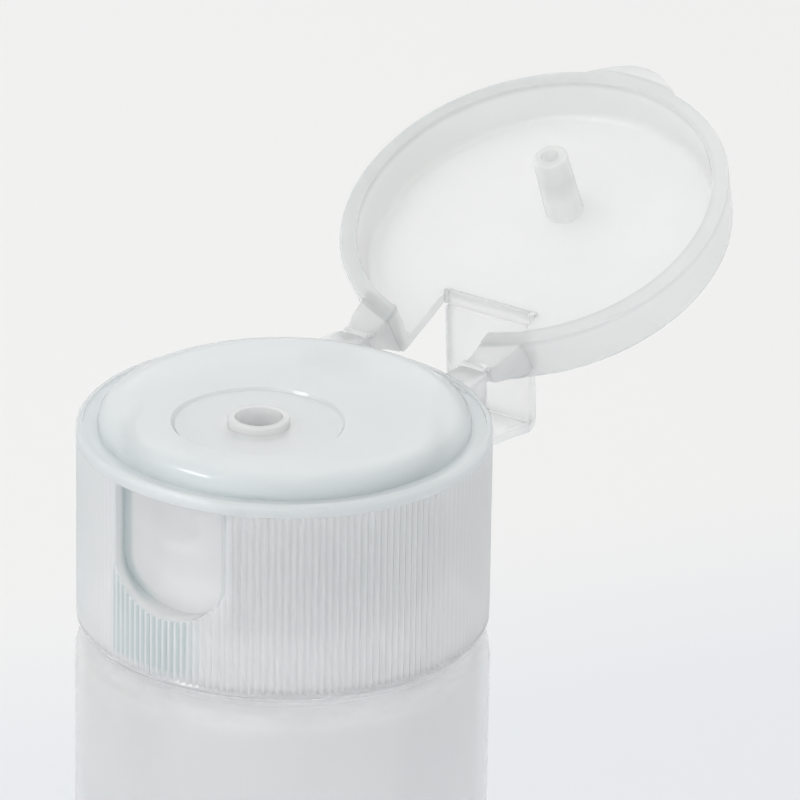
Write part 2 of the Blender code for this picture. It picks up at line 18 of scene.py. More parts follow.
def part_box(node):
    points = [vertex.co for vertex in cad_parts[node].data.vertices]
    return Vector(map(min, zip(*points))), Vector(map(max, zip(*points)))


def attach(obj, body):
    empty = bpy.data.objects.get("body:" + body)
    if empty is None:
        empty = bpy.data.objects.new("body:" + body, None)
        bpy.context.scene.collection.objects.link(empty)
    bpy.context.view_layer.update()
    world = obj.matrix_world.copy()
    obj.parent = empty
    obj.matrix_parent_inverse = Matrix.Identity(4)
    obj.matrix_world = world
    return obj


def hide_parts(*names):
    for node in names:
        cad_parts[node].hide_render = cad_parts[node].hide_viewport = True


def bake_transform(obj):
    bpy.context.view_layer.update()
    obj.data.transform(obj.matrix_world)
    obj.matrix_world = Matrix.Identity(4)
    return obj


bl_info = {
    "name": "Travel Bottle Looks",
    "version": (1, 0, 0),
    "blender": (4, 5, 0),
    "location": "3D View > Sidebar > Bottle",
    "description": "Finishes the frosted travel bottle, its ribbed cap and its flip-top lid",
    "category": "Object",
}

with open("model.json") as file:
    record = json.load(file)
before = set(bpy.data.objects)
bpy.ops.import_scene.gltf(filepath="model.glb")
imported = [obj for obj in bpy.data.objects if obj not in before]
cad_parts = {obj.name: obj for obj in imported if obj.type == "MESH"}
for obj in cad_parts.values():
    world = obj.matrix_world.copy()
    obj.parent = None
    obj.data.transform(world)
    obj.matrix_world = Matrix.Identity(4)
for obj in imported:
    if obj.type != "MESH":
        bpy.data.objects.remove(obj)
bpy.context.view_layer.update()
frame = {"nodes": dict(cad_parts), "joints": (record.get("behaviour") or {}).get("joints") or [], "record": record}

MM = 0.001

NODES = frame["nodes"]
JOINTS = {joint["name"]: joint for joint in frame["joints"]}
RATIOS = {rule["joint"]: rule["ratio"] for rule in frame["record"]["behaviour"]["couplings"]}
HINGE = Vector(JOINTS["lid_flip"]["pos_m"])
STRAP_FOOT = Vector(JOINTS["strap_foot"]["pos_m"])
STRAP_CORNER = Vector(JOINTS["strap_corner"]["pos_m"])
OPEN_ANGLE = math.radians(JOINTS["lid_flip"]["range_deg"][1])
PITCH = RATIOS["cap_lift"] * 2 * math.pi

# Places on the solids that the finishes and the added pieces follow
NECK_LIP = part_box("bottle_body")[1].z
CAP_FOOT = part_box("cap_base")[0].z
CAP_RADIUS = -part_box("cap_base")[0].x
LID_RADIUS = CAP_RADIUS - 0.2 * MM
SLEEVE_FOOT = HINGE.z - 12.9 * MM
ORIFICE_Y = -3.65 * MM
RECESS_HALF_WIDTH = 5.35 * MM
RECESS_ARC_TOP = HINGE.z - 7.4 * MM
RECESS_ARC_HEIGHT = 4.1 * MM
STRAP_HALF_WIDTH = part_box("strap_upper_leaf")[1].x
LEAF_THICKNESS = 0.88 * MM


# Sizes and colours that a user may change

class PlasticFinish:
    """Settings that every moulded plastic piece shares."""

    roughness: FloatProperty(
        name="Roughness", description="How matt the moulded skin is", default=0.38, min=0.05, max=1.0
    )
    grain: FloatProperty(
        name="Grain height", description="Height of the mould's fine satin texture",
        default=0.006 * MM, min=0.0, max=0.1 * MM, unit="LENGTH", precision=6,
    )
    grain_size: FloatProperty(
        name="Grain size", description="Width of one grain of the satin texture",
        default=0.22 * MM, min=0.05 * MM, max=2 * MM, unit="LENGTH", precision=5,
    )
    gloss: FloatProperty(
        name="Gloss", description="Strength of the smooth skin that gives small glints",
        default=0.9, min=0.0, max=1.0,
    )


class BottleFinish(PlasticFinish, bpy.types.PropertyGroup):
    """Finish of the blow-moulded bottle."""

    glow: FloatProperty(
        name="Glow depth", description="How far light spreads inside the plastic",
        default=5.0 * MM, min=0.0, max=20 * MM, unit="LENGTH", precision=4,
    )
    passing: FloatProperty(
        name="Light through", description="Share of the light that passes the wall blurred",
        default=0.4, min=0.0, max=1.0,
    )
    density: FloatProperty(
        name="Density", description="Share of what lies behind that the wall hides",
        default=0.5, min=0.1, max=1.0,
    )
    clearest: FloatProperty(
        name="Least density", description="Density of the shoulder under the cap",
        default=0.14, min=0.05, max=1.0,
    )
    colour: FloatVectorProperty(
        name="Colour", description="Main colour of the bottle", subtype="COLOR",
        default=(0.985, 0.985, 0.98), min=0.0, max=1.0,
    )
    # The shade colour is the body's tone; the shoulder under the cap is left without it, as painted light
    shade: FloatVectorProperty(
        name="Thick shade", description="Colour where the wall is thicker", subtype="COLOR",
        default=(0.70, 0.715, 0.725), min=0.0, max=1.0,
    )


class CapFinish(PlasticFinish, bpy.types.PropertyGroup):
    """Finish of the screw-on cap base."""

    glow: FloatProperty(
        name="Glow depth", description="How far light spreads inside the plastic",
        default=2.5 * MM, min=0.0, max=20 * MM, unit="LENGTH", precision=4,
    )
    passing: FloatProperty(
        name="Light through", description="Share of the light that passes the wall blurred",
        default=0.12, min=0.0, max=1.0,
    )
    density: FloatProperty(
        name="Density", description="Share of what lies behind that the wall hides",
        default=0.7, min=0.1, max=1.0,
    )
    colour: FloatVectorProperty(
        name="Colour", description="Main colour of the cap base", subtype="COLOR",
        default=(0.972, 0.985, 0.985), min=0.0, max=1.0,
    )
    # This shade colour is mostly painted shade, in the rib grooves, round the thumb recess, on the top and on the
    # left side, and a little of it is the cap's tone
    shade: FloatVectorProperty(
        name="Thick shade", description="Colour where plastic is thicker", subtype="COLOR",
        default=(0.58, 0.665, 0.685), min=0.0, max=1.0,
    )
    band_height: FloatProperty(
        name="Foot band height", description="Height of the smooth band that ends the ribs",
        default=0.3 * MM, min=0.1 * MM, max=1 * MM, unit="LENGTH", precision=5,
    )


class LidFinish(PlasticFinish, bpy.types.PropertyGroup):
    """Finish of the lid and of the strap that snaps it open."""

    glow: FloatProperty(
        name="Glow depth", description="How far light spreads inside the plastic",
        default=2.0 * MM, min=0.0, max=20 * MM, unit="LENGTH", precision=4,
    )
    passing: FloatProperty(
        name="Light through", description="Share of the light that passes the wall blurred",
        default=0.25, min=0.0, max=1.0,
    )
    density: FloatProperty(
        name="Density", description="Share of what lies behind that the wall hides",
        default=0.7, min=0.1, max=1.0,
    )
    clearest: FloatProperty(
        name="Least density", description="Density of the strap's middle, and near the pin's tip",
        default=0.26, min=0.05, max=1.0,
    )
    colour: FloatVectorProperty(
        name="Colour", description="Main colour of the lid", subtype="COLOR",
        default=(0.955, 0.96, 0.95), min=0.0, max=1.0,
    )
    # This shade colour is mostly painted shade, on the lid's wall and the edges of its rim, and a little of it is
    # the lid's tone
    shade: FloatVectorProperty(
        name="Thick shade", description="Colour of the lid's skirt and pin", subtype="COLOR",
        default=(0.66, 0.685, 0.68), min=0.0, max=1.0,
    )
    web_thickness: FloatProperty(
        name="Web thickness", description="Thickness of the webs that bend",
        default=0.4 * MM, min=0.1 * MM, max=1 * MM, unit="LENGTH", precision=5,
    )
    ear_width: FloatProperty(
        name="Ear width", description="Width of a hinge ear where it meets the wall",
        default=3.5 * MM, min=1 * MM, max=6 * MM, unit="LENGTH", precision=4,
    )
    ear_height: FloatProperty(
        name="Ear height", description="Height of a lid ear where it meets the lid's wall",
        default=4.7 * MM, min=1 * MM, max=6 * MM, unit="LENGTH", precision=4,
    )


class ThreadSizes(bpy.types.PropertyGroup):
    """Sizes of the screw thread on the neck and in the cap's sleeve."""

    turns: FloatProperty(
        name="Turns", description="Turns of each thread", default=1.75, min=0.5, max=4.0
    )
    lip_gap: FloatProperty(
        name="Gap to the lip", description="How far below the neck's lip its thread ends",
        default=1.9 * MM, min=0.5 * MM, max=5 * MM, unit="LENGTH", precision=5,
    )
    neck_depth: FloatProperty(
        name="Neck thread depth", description="How far the neck's thread stands out",
        default=0.75 * MM, min=0.1 * MM, max=2 * MM, unit="LENGTH", precision=5,
    )
    sleeve_depth: FloatProperty(
        name="Sleeve thread depth", description="How far the sleeve's thread stands in",
        default=0.7 * MM, min=0.1 * MM, max=2 * MM, unit="LENGTH", precision=5,
    )
    root_width: FloatProperty(
        name="Root width", description="Width of a thread at its root",
        default=1.25 * MM, min=0.2 * MM, max=3 * MM, unit="LENGTH", precision=5,
    )
    steps: IntProperty(
        name="Steps", description="Sections in one turn", default=96, min=24, max=360
    )


class StageSettings(bpy.types.PropertyGroup):
    """Camera, lamps and floor."""

    azimuth: FloatProperty(
        name="Azimuth", description="Camera's bearing from the front, towards +X",
        default=math.radians(34.4), subtype="ANGLE", unit="ROTATION",
    )
    elevation: FloatProperty(
        name="Elevation", description="Camera's height above the horizon",
        default=math.radians(23.5), subtype="ANGLE", unit="ROTATION",
    )
    roll: FloatProperty(
        name="Roll", description="Camera's turn about its own axis",
        default=math.radians(0.93), subtype="ANGLE", unit="ROTATION",
    )
    distance: FloatProperty(
        name="Distance", description="Camera's distance from the middle of the view",
        default=0.64, min=0.2, max=5.0, unit="LENGTH",
    )
    view_width: FloatProperty(
        name="View width", description="Width seen at that distance",
        default=65.05 * MM, min=10 * MM, max=1.0, unit="LENGTH", precision=5,
    )
    floor_colour: FloatVectorProperty(
        name="Floor", description="Colour of the floor", subtype="COLOR",
        default=(0.845, 0.845, 0.84), min=0.0, max=1.0,
    )
    near_floor: FloatVectorProperty(
        name="Near floor", description="Colour of the floor on the camera's side", subtype="COLOR",
        default=(0.78, 0.80, 0.825), min=0.0, max=1.0,
    )
    backdrop: FloatVectorProperty(
        name="Backdrop", description="Colour of the surround beyond the floor", subtype="COLOR",
        default=(0.915, 0.915, 0.915), min=0.0, max=1.0,
    )
    daylight: FloatProperty(
        name="Surround", description="Strength of the even light from all round",
        default=0.93, min=0.0, max=3.0,
    )


# Shader maths

class Wire:
    """A shader value whose arithmetic adds Math nodes."""

    def __init__(self, recipe, socket):
        self.recipe = recipe
        self.socket = socket

    def _math(self, operation, first, second):
        return self.recipe.node("ShaderNodeMath", {"operation": operation}, {0: first, 1: second})

    def __add__(self, other):
        return self._math("ADD", self, other)

    def __radd__(self, other):
        return self._math("ADD", other, self)

    def __sub__(self, other):
        return self._math("SUBTRACT", self, other)

    def __rsub__(self, other):
        return self._math("SUBTRACT", other, self)

    def __mul__(self, other):
        return self._math("MULTIPLY", self, other)

    def __rmul__(self, other):
        return self._math("MULTIPLY", other, self)

    def __truediv__(self, other):
        return self._math("DIVIDE", self, other)

    def __pow__(self, other):
        return self._math("POWER", self, other)


class Recipe:
    """Builds the node tree of one material or of the world."""

    def __init__(self, tree):
        self.tree = tree
        tree.nodes.clear()

    def node(self, kind, settings=None, values=None, output=0):
        """Add a node: its settings first, then the values or links of its sockets."""
        added = self.tree.nodes.new(kind)
        for key, value in (settings or {}).items():
            setattr(added, key, value)
        for key, value in (values or {}).items():
            self.feed(added.inputs[key], value)
        return Wire(self, added.outputs[output]) if len(added.outputs) else added

    def feed(self, socket, value):
        """Link a wire to a socket, or set the socket's own value."""
        if isinstance(value, Wire):
            self.tree.links.new(value.socket, socket)
        elif isinstance(value, (tuple, Vector)) and len(value) == 3 and socket.type == "RGBA":
            socket.default_value = (*value, 1.0)
        else:
            socket.default_value = value

    def position(self):
        """Place on the piece, in metres, in the frame at rest."""
        return self.node("ShaderNodeTexCoord", output="Object")

    def parts(self, vector):
        """Split a vector into its three values."""
        split = self.node("ShaderNodeSeparateXYZ", None, {0: vector}).socket.node
        return [Wire(self, socket) for socket in split.outputs]

    def noise(self, place, size, detail):
        """Smooth noise between 0 and 1 whose blots are about one size wide."""
        return self.node("ShaderNodeTexNoise", None, {"Vector": place, "Scale": 1 / size, "Detail": detail})

    def highest(self, first, second):
        """The larger of two values."""
        return self.node("ShaderNodeMath", {"operation": "MAXIMUM"}, {0: first, 1: second})

    def ramp(self, value, low, high):
        """Smooth step from 0 at low to 1 at high."""
        return self.node(
            "ShaderNodeMapRange", {"interpolation_type": "SMOOTHSTEP"},
            {"Value": value, "From Min": low, "From Max": high},
        )

    def mix(self, share, first, second):
        """Blend two colours, through the Mix node's colour sockets."""
        return self.node(
            "ShaderNodeMix", {"data_type": "RGBA"}, {"Factor": share, 6: first, 7: second}, output=2
        )


def new_recipe(name):
    """Make a material with an empty node tree."""
    material = bpy.data.materials.new(name)
    material.use_nodes = True
    return material, Recipe(material.node_tree)


def moulded(name, finish, thick, clear=None):
    """Frosted plastic: satin grain, soft clouding, a shade colour mixed in by a mask, and clearer where a second
    mask says.

    thick gives the shade colour's share, which is the plastic's own tone and, on the bottle, cap, lid and strap,
    also painted shade and painted light; clear makes the plastic more see-through. Both are functions that get the
    recipe and the place, and return a mask.
    """
    material, recipe = new_recipe(name)
    place = recipe.position()
    clouds = recipe.noise(place, 9 * MM, 3.0)
    specks = recipe.noise(place, 0.9 * MM, 2.0)
    grain = recipe.noise(place, finish.grain_size, 3.0)
    # The shade colour's share: the plastic's tone, with painted shade and painted light
    share = thick(recipe, place) + (clouds - 0.5) * 0.16 + (specks - 0.5) * 0.03
    base = recipe.mix(share, tuple(finish.colour), tuple(finish.shade))
    alpha = finish.density
    if clear:
        alpha = finish.density - clear(recipe, place) * (finish.density - finish.clearest)
    rounded = recipe.node("ShaderNodeBevel", {"samples": 4}, {"Radius": 0.12 * MM})
    height = grain * finish.grain + clouds * (finish.grain * 1.5)
    bump = recipe.node(
        "ShaderNodeBump", None,
        {"Strength": 0.6, "Distance": 1.0, "Height": height, "Normal": rounded},
    )
    roughness = finish.roughness + (grain - 0.5) * 0.12 + (clouds - 0.5) * 0.1
    shader = recipe.node(
        "ShaderNodeBsdfPrincipled", {"subsurface_method": "RANDOM_WALK"},
        {
            "Base Color": base, "Roughness": roughness, "Normal": bump, "IOR": 1.49,
            "Subsurface Weight": 1.0, "Subsurface Scale": finish.glow,
            "Subsurface Radius": (1.0, 1.0, 1.0), "Specular IOR Level": 0.5,
            "Transmission Weight": finish.passing, "Alpha": alpha,
            "Coat Weight": finish.gloss, "Coat Roughness": 0.09,
        },
    )
    recipe.node("ShaderNodeOutputMaterial", None, {"Surface": shader})
    return material


def foam(name):
    """Soft closed-cell sheet of the seal."""
    material, recipe = new_recipe(name)
    place = recipe.position()
    cells = recipe.node("ShaderNodeTexVoronoi", None, {"Vector": place, "Scale": 1 / (0.25 * MM)})
    base = recipe.mix(cells, (0.86, 0.86, 0.84), (0.78, 0.78, 0.76))
    bump = recipe.node("ShaderNodeBump", None, {"Strength": 0.4, "Distance": 0.02 * MM, "Height": cells})
    shader = recipe.node(
        "ShaderNodeBsdfPrincipled", None,
        {"Base Color": base, "Roughness": 0.75 + cells * 0.1, "Normal": bump},
    )
    recipe.node("ShaderNodeOutputMaterial", None, {"Surface": shader})
    return material


# Geometry

def soft_edges(item, angle=math.radians(38.0)):
    """Join the triangles of a solid and shade its gentle edges smooth, through one modifier."""
    tree = bpy.data.node_groups.get("Soft edges") or soft_edge_tree(angle)
    item.modifiers.new("Soft edges", "NODES").node_group = tree


def soft_edge_tree(angle):
    """Geometry nodes that merge loose corners and keep only the real edges sharp."""
    tree = bpy.data.node_groups.new("Soft edges", "GeometryNodeTree")
    tree.interface.new_socket("Geometry", in_out="INPUT", socket_type="NodeSocketGeometry")
    tree.interface.new_socket("Geometry", in_out="OUTPUT", socket_type="NodeSocketGeometry")
    recipe = Recipe(tree)
    solid = recipe.node("NodeGroupInput")
    plain = recipe.node("GeometryNodeRemoveAttribute", None, {"Geometry": solid, "Name": "custom_normal"})
    merged = recipe.node("GeometryNodeMergeByDistance", None, {"Geometry": plain, "Distance": 0.001 * MM})
    smooth = recipe.node(
        "GeometryNodeSetShadeSmooth", {"domain": "FACE"}, {"Geometry": merged, "Shade Smooth": True}
    )
    folds = recipe.node("GeometryNodeInputMeshEdgeAngle")
    sharp = recipe.node(
        "FunctionNodeCompare", {"data_type": "FLOAT", "operation": "GREATER_THAN"}, {0: folds, 1: angle}
    )
    done = recipe.node(
        "GeometryNodeSetShadeSmooth", {"domain": "EDGE"},
        {"Geometry": smooth, "Selection": sharp, "Shade Smooth": False},
    )
    recipe.node("NodeGroupOutput", None, {0: done})
    return tree


def dress(node, material):
    """Give a CAD node its material and smooth shading."""
    item = NODES[node]
    item.data.materials.clear()
    item.data.materials.append(material)
    soft_edges(item)


def new_piece(name, form, material):
    """Turn a bmesh into a shown object with a material."""
    mesh = bpy.data.meshes.new(name)
    bmesh.ops.recalc_face_normals(form, faces=form.faces)
    form.to_mesh(mesh)
    form.free()
    mesh.materials.append(material)
    mesh.shade_smooth()
    mesh.set_sharp_from_angle(angle=math.radians(40.0))
    item = bpy.data.objects.new(name, mesh)
    bpy.context.scene.collection.objects.link(item)
    return item


def swept(sections, closed=False):
    """Skin a row of closed sections that have equally many points."""
    form = bmesh.new()
    rings = [[form.verts.new(point) for point in section] for section in sections]
    count = len(rings[0])
    pairs = list(zip(rings, rings[1:])) + ([(rings[-1], rings[0])] if closed else [])
    for ring, following in pairs:
        for index in range(count):
            after = (index + 1) % count
            form.faces.new((ring[index], ring[after], following[after], following[index]))
    if not closed:
        form.faces.new(rings[0])
        form.faces.new(list(reversed(rings[-1])))
    return form


def node_radii(node, low, high):
    """Distances from the bottle's axis of a node's corners between two heights."""
    corners = [vertex.co for vertex in NODES[node].data.vertices]
    return [math.hypot(co.x, co.y) for co in corners if low <= co.z <= high]


def thread_ridge(name, root, depth, start, sizes, material):
    """Right-handed helical ridge that fades out at both ends.

    root is the radius it grows from, depth how far it stands out, negative for inwards.
    """
    # Flank of the ridge from its root to its crest: share of the depth, share of the half width
    flank = ((0.0, 1.0), (0.7, 0.62), (1.0, 0.34))
    fade_turn = 0.12
    buried = root - math.copysign(0.15 * MM, depth)
    half = sizes.root_width / 2
    sections = []
    for step in range(round(sizes.turns * sizes.steps) + 1):
        turn = step / sizes.steps
        fade = min(1.0, turn / fade_turn, (sizes.turns - turn) / fade_turn)
        fade = math.sin(max(fade, 0.02) * math.pi / 2)
        lower = [(buried, -half)] + [(root + rise * depth * fade, -width * half) for rise, width in flank]
        upper = [(radius, -height) for radius, height in reversed(lower)]
        angle = turn * 2 * math.pi
        level = start + turn * PITCH
        sections.append([
            Vector((radius * math.cos(angle), radius * math.sin(angle), level + height))
            for radius, height in lower + upper
        ])
    return new_piece(name, swept(sections), material)


def screw_thread(context, name, root, depth, drop, finish, body):
    """Add a thread that ends below the neck's lip and rides on a body."""
    sizes = context.scene.thread_sizes
    start = NECK_LIP - sizes.lip_gap - sizes.turns * PITCH - drop
    material = moulded(name.replace("_", " ") + " plastic", finish, even)
    thread = thread_ridge(name, root, depth, start, sizes, material)
    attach(thread, body)


def smooth_path(points, steps=6):
    """Smooth curve through points, as a list with steps pieces between each two."""
    path = []
    for index in range(len(points) - 1):
        before = points[max(index - 1, 0)]
        start, end = points[index], points[index + 1]
        after = points[min(index + 2, len(points) - 1)]
        first = start + (end - before) / 6
        second = end - (after - start) / 6
        path += interpolate_bezier(start, first, second, end, steps + 1)[:-1]
    return path + [points[-1]]


def web(name, points, thicknesses, low_x, high_x, material):
    """Thin sheet that follows a path in the YZ plane, with rounded long edges."""
    path = smooth_path([Vector((0.0, y, z)) for y, z in points])
    rounding = (high_x - low_x) * 0.02
    edge_share = 0.55
    across = (
        (low_x, edge_share), (low_x + rounding, 1.0), (high_x - rounding, 1.0), (high_x, edge_share),
    )
    sections = []
    for index, point in enumerate(path):
        ahead = path[min(index + 1, len(path) - 1)] - path[max(index - 1, 0)]
        normal = Vector((0.0, -ahead.z, ahead.y)).normalized()
        share = index / (len(path) - 1) * (len(thicknesses) - 1)
        lower = min(int(share), len(thicknesses) - 2)
        thick = thicknesses[lower] + (thicknesses[lower + 1] - thicknesses[lower]) * (share - lower)
        half = normal * thick / 2
        front = [point + Vector((x, 0, 0)) + half * fill for x, fill in across]
        back = [point + Vector((x, 0, 0)) - half * fill for x, fill in reversed(across)]
        sections.append(front + back)
    return new_piece(name, swept(sections), material)


def swing(point, angle):
    """Turn a (y, z) point about the lid's hinge line."""
    y, z = point[0] - HINGE.y, point[1] - HINGE.z
    turned_y = y * math.cos(angle) - z * math.sin(angle)
    turned_z = y * math.sin(angle) + z * math.cos(angle)
    return (HINGE.y + turned_y, HINGE.z + turned_z)


# Masks of the plastic's tone, of painted shade and painted light, and of where it is clearer

def even(recipe, place):
    """A wall of one thickness all over."""
    return recipe.noise(place, 30 * MM, 1.0) * 0.1 + 0.12


def bottle_tone_and_painted_light(recipe, place):
    """An even tone over the body, with painted light on the shoulder under the cap, which gets none of the shade
    colour.
    """
    z = recipe.parts(place)[2]
    # Painted light: no shade colour where the shoulder curves in under the cap
    body = 1 - recipe.ramp(z, CAP_FOOT - 3.0 * MM, CAP_FOOT - 0.8 * MM)
    return body * (recipe.noise(place, 30 * MM, 1.0) * 0.1 + 0.5)


def shoulder_clearness(recipe, place):
    """Clearer where the bottle's shoulder curves in under the cap."""
    z = recipe.parts(place)[2]
    return recipe.ramp(z, CAP_FOOT - 2.8 * MM, CAP_FOOT - 1.0 * MM)


def recess_share(recipe, x, z):
    """Place relative to the thumb recess's outline: below 1 inside it, above 1 outside it."""
    across = x / RECESS_HALF_WIDTH
    drop = recipe.highest(RECESS_ARC_TOP - z, 0.0) / RECESS_ARC_HEIGHT
    return (across * across + drop * drop) ** 0.5


def recess_painted_shade(recipe, x, radius, outline, skin):
    """Painted shade on the left wall of the thumb recess and in a thin line down its right side."""
    left = 1 - recipe.ramp(x, -4.4 * MM, -1.0 * MM)
    wall = recipe.ramp(outline, 0.80, 0.91) * (1 - recipe.ramp(outline, 1.01, 1.03)) * left
    wall = wall * (1 - recipe.ramp(radius, CAP_RADIUS - 1.4 * MM, CAP_RADIUS - 0.8 * MM))
    line = recipe.ramp(outline, 0.99, 1.0) * (1 - recipe.ramp(outline, 1.03, 1.05)) * skin
    line = line * recipe.ramp(x, 4.6 * MM, 5.2 * MM)
    return wall * 0.65 + line * 0.6


def ribs_under_recess(recipe, x, z, outline):
    """The ribs between the thumb recess and the cap's foot."""
    under = recipe.ramp(outline, 0.99, 1.02) * recipe.ramp(x, -6.0 * MM, -5.2 * MM)
    under = under * (1 - recipe.ramp(x, 1.2 * MM, 4.0 * MM))
    under = under * (1 - recipe.ramp(z, HINGE.z - 10.0 * MM, HINGE.z - 7.5 * MM))
    return under * recipe.ramp(z, CAP_FOOT + 0.4 * MM, CAP_FOOT + 1.4 * MM)


def orifice_surround(recipe, x, y, z):
    """The nozzle's rim and the deck close round it."""
    away = y - ORIFICE_Y
    near = 1 - recipe.ramp(x * x + away * away, (2.4 * MM) ** 2, (3.4 * MM) ** 2)
    return near * recipe.ramp(z, HINGE.z - 2.0 * MM, HINGE.z - 1.0 * MM)


def cap_painted_light_and_shade(recipe, place):
    """Painted shade in the grooves between the ribs, round the thumb recess, on the ribs below it, on the rim and
    top and on the left side; painted light in the recess, round the nozzle and at the foot.
    """
    x, y, z = recipe.parts(place)
    radius = (x * x + y * y) ** 0.5
    outline = recess_share(recipe, x, z)
    skin = recipe.ramp(radius, CAP_RADIUS - 0.5 * MM, CAP_RADIUS - 0.35 * MM)
    grooves = skin * (1 - recipe.ramp(radius, CAP_RADIUS - 0.22 * MM, CAP_RADIUS - 0.1 * MM))
    front = 1 - recipe.ramp(y, -13.5 * MM, -11.5 * MM)
    front = front * (1 - recipe.ramp(z, HINGE.z - 1.25 * MM, HINGE.z - 1.1 * MM))
    recess = front * (1 - recipe.ramp(outline, 0.97, 1.0)) * (1 - skin)
    edges = front * recess_painted_shade(recipe, x, radius, outline, skin)
    under = front * skin * ribs_under_recess(recipe, x, z, outline)
    rim = recipe.ramp(z, HINGE.z - 1.2 * MM, HINGE.z - 0.8 * MM)
    dome_edge = rim * recipe.ramp(radius, CAP_RADIUS - 3.4 * MM, CAP_RADIUS - 1.6 * MM)
    far_left = (1 - rim) * (1 - recipe.ramp(x, -13 * MM, -8 * MM))
    foot = 1 - recipe.ramp(z, CAP_FOOT + 0.2 * MM, CAP_FOOT + 1.8 * MM)
    # Painted shade on the top and rim, on the left side and at the dome's edge, over an even tone
    depth = 0.12 + rim * 0.26 + far_left * 0.3 + dome_edge * 0.2
    # Painted light: less of the shade colour in the recess, round the nozzle and at the cap's foot
    plain = (1 - recess * 0.7) * (1 - orifice_surround(recipe, x, y, z)) * (1 - foot * 0.8)
    # Painted shade in the rib grooves, on the ribs below the recess and on the recess's edges
    return plain * depth + grooves * (under * 0.7 + 0.08) + under * 0.3 + edges


def shut_place(recipe, place):
    """Place on the lid as x and y with the lid shut, its distance from the axis, and its height."""
    x, y, z = recipe.parts(place)
    back, rise = y - HINGE.y, z - HINGE.z
    shut_y = back * math.cos(OPEN_ANGLE) - rise * math.sin(OPEN_ANGLE) + HINGE.y
    height = back * math.sin(OPEN_ANGLE) + rise * math.cos(OPEN_ANGLE)
    return x, shut_y, (x * x + shut_y * shut_y) ** 0.5, height


def pin_mask(recipe, x, y, height, low, high):
    """1 on the lid's pin below low, 0 above high."""
    away = y - ORIFICE_Y
    pin = 1 - recipe.ramp(x * x + away * away, (1.7 * MM) ** 2, (2.0 * MM) ** 2)
    return pin * (1 - recipe.ramp(height, low, high))


def lid_tone_and_painted_shade(recipe, place):
    """Painted shade on the lid's wall and on the edges of its rim, stronger on the left side, a little darker on
    its pin, over an even tone.
    """
    x, y, radius, height = shut_place(recipe, place)
    # Painted shade: the wall and the rim's edges are darker, more so on the left side
    side = 1 - recipe.ramp(x, -6 * MM, 12 * MM)
    wall = recipe.ramp(radius, LID_RADIUS - 2.2 * MM, LID_RADIUS - 0.4 * MM) * (side * 0.15 + 0.05)
    ears = recipe.ramp(radius, LID_RADIUS + 0.1 * MM, LID_RADIUS + 0.4 * MM)
    rim = (1 - ears) * recipe.ramp(radius, LID_RADIUS - 1.6 * MM, LID_RADIUS - 1.4 * MM)
    rim = rim * (1 - recipe.ramp(height, 0.4 * MM, 1.1 * MM))
    inner_edge = 1 - recipe.ramp(radius, LID_RADIUS - 1.25 * MM, LID_RADIUS - 0.9 * MM)
    outer_edge = recipe.ramp(radius, LID_RADIUS - 0.9 * MM, LID_RADIUS - 0.05 * MM)
    rim = rim * (inner_edge * 0.2 + side * outer_edge * 0.4 + side * 0.4 + 0.45)
    pin = pin_mask(recipe, x, y, height, 3.6 * MM, 4.2 * MM)
    return wall + rim + pin * 0.04 + 0.16


def lid_clearness(recipe, place):
    """Clearer towards the tip of the hollow pin."""
    x, y, _, height = shut_place(recipe, place)
    return pin_mask(recipe, x, y, height, 0.0, 2.5 * MM) * 0.4


def strap_painted_edge_shade(recipe, place):
    """Painted shade along the strap's two long edges."""
    x = recipe.parts(place)[0]
    start, end = STRAP_HALF_WIDTH - 0.25 * MM, STRAP_HALF_WIDTH - 0.05 * MM
    return recipe.ramp(x * x, start ** 2, end ** 2) * 0.3


def strap_clearness(recipe, place):
    """Clearer between the strap's two long edges."""
    x = recipe.parts(place)[0]
    start, end = STRAP_HALF_WIDTH - 0.35 * MM, STRAP_HALF_WIDTH - 0.05 * MM
    return 1 - recipe.ramp(x * x, start ** 2, end ** 2)


# Operators, one for each piece or group of like pieces

class BOTTLE_OT_body(bpy.types.Operator):
    """Finish the blow-moulded bottle"""

    bl_idname = "travel_bottle.body"
    bl_label = "Bottle Body"

    def execute(self, context):
        finish = context.scene.bottle_finish
        dress("bottle_body", moulded("bottle plastic", finish, bottle_tone_and_painted_light, shoulder_clearness))
        return {"FINISHED"}


class BOTTLE_OT_neck_thread(bpy.types.Operator):
    """Add the screw thread on the bottle's neck"""

    bl_idname = "travel_bottle.neck_thread"
    bl_label = "Neck Thread"

    def execute(self, context):
        depth = context.scene.thread_sizes.neck_depth
        finish = context.scene.bottle_finish
        neck = max(node_radii("bottle_body", NECK_LIP - 3 * MM, NECK_LIP))
        screw_thread(context, "neck_thread", neck, depth, 0.0, finish, "bottle")
        return {"FINISHED"}


class BOTTLE_OT_seal(bpy.types.Operator):
    """Finish the soft seal under the cap's deck"""

    bl_idname = "travel_bottle.seal"
    bl_label = "Neck Seal"

    def execute(self, context):
        dress("neck_seal", foam("seal foam"))
        return {"FINISHED"}


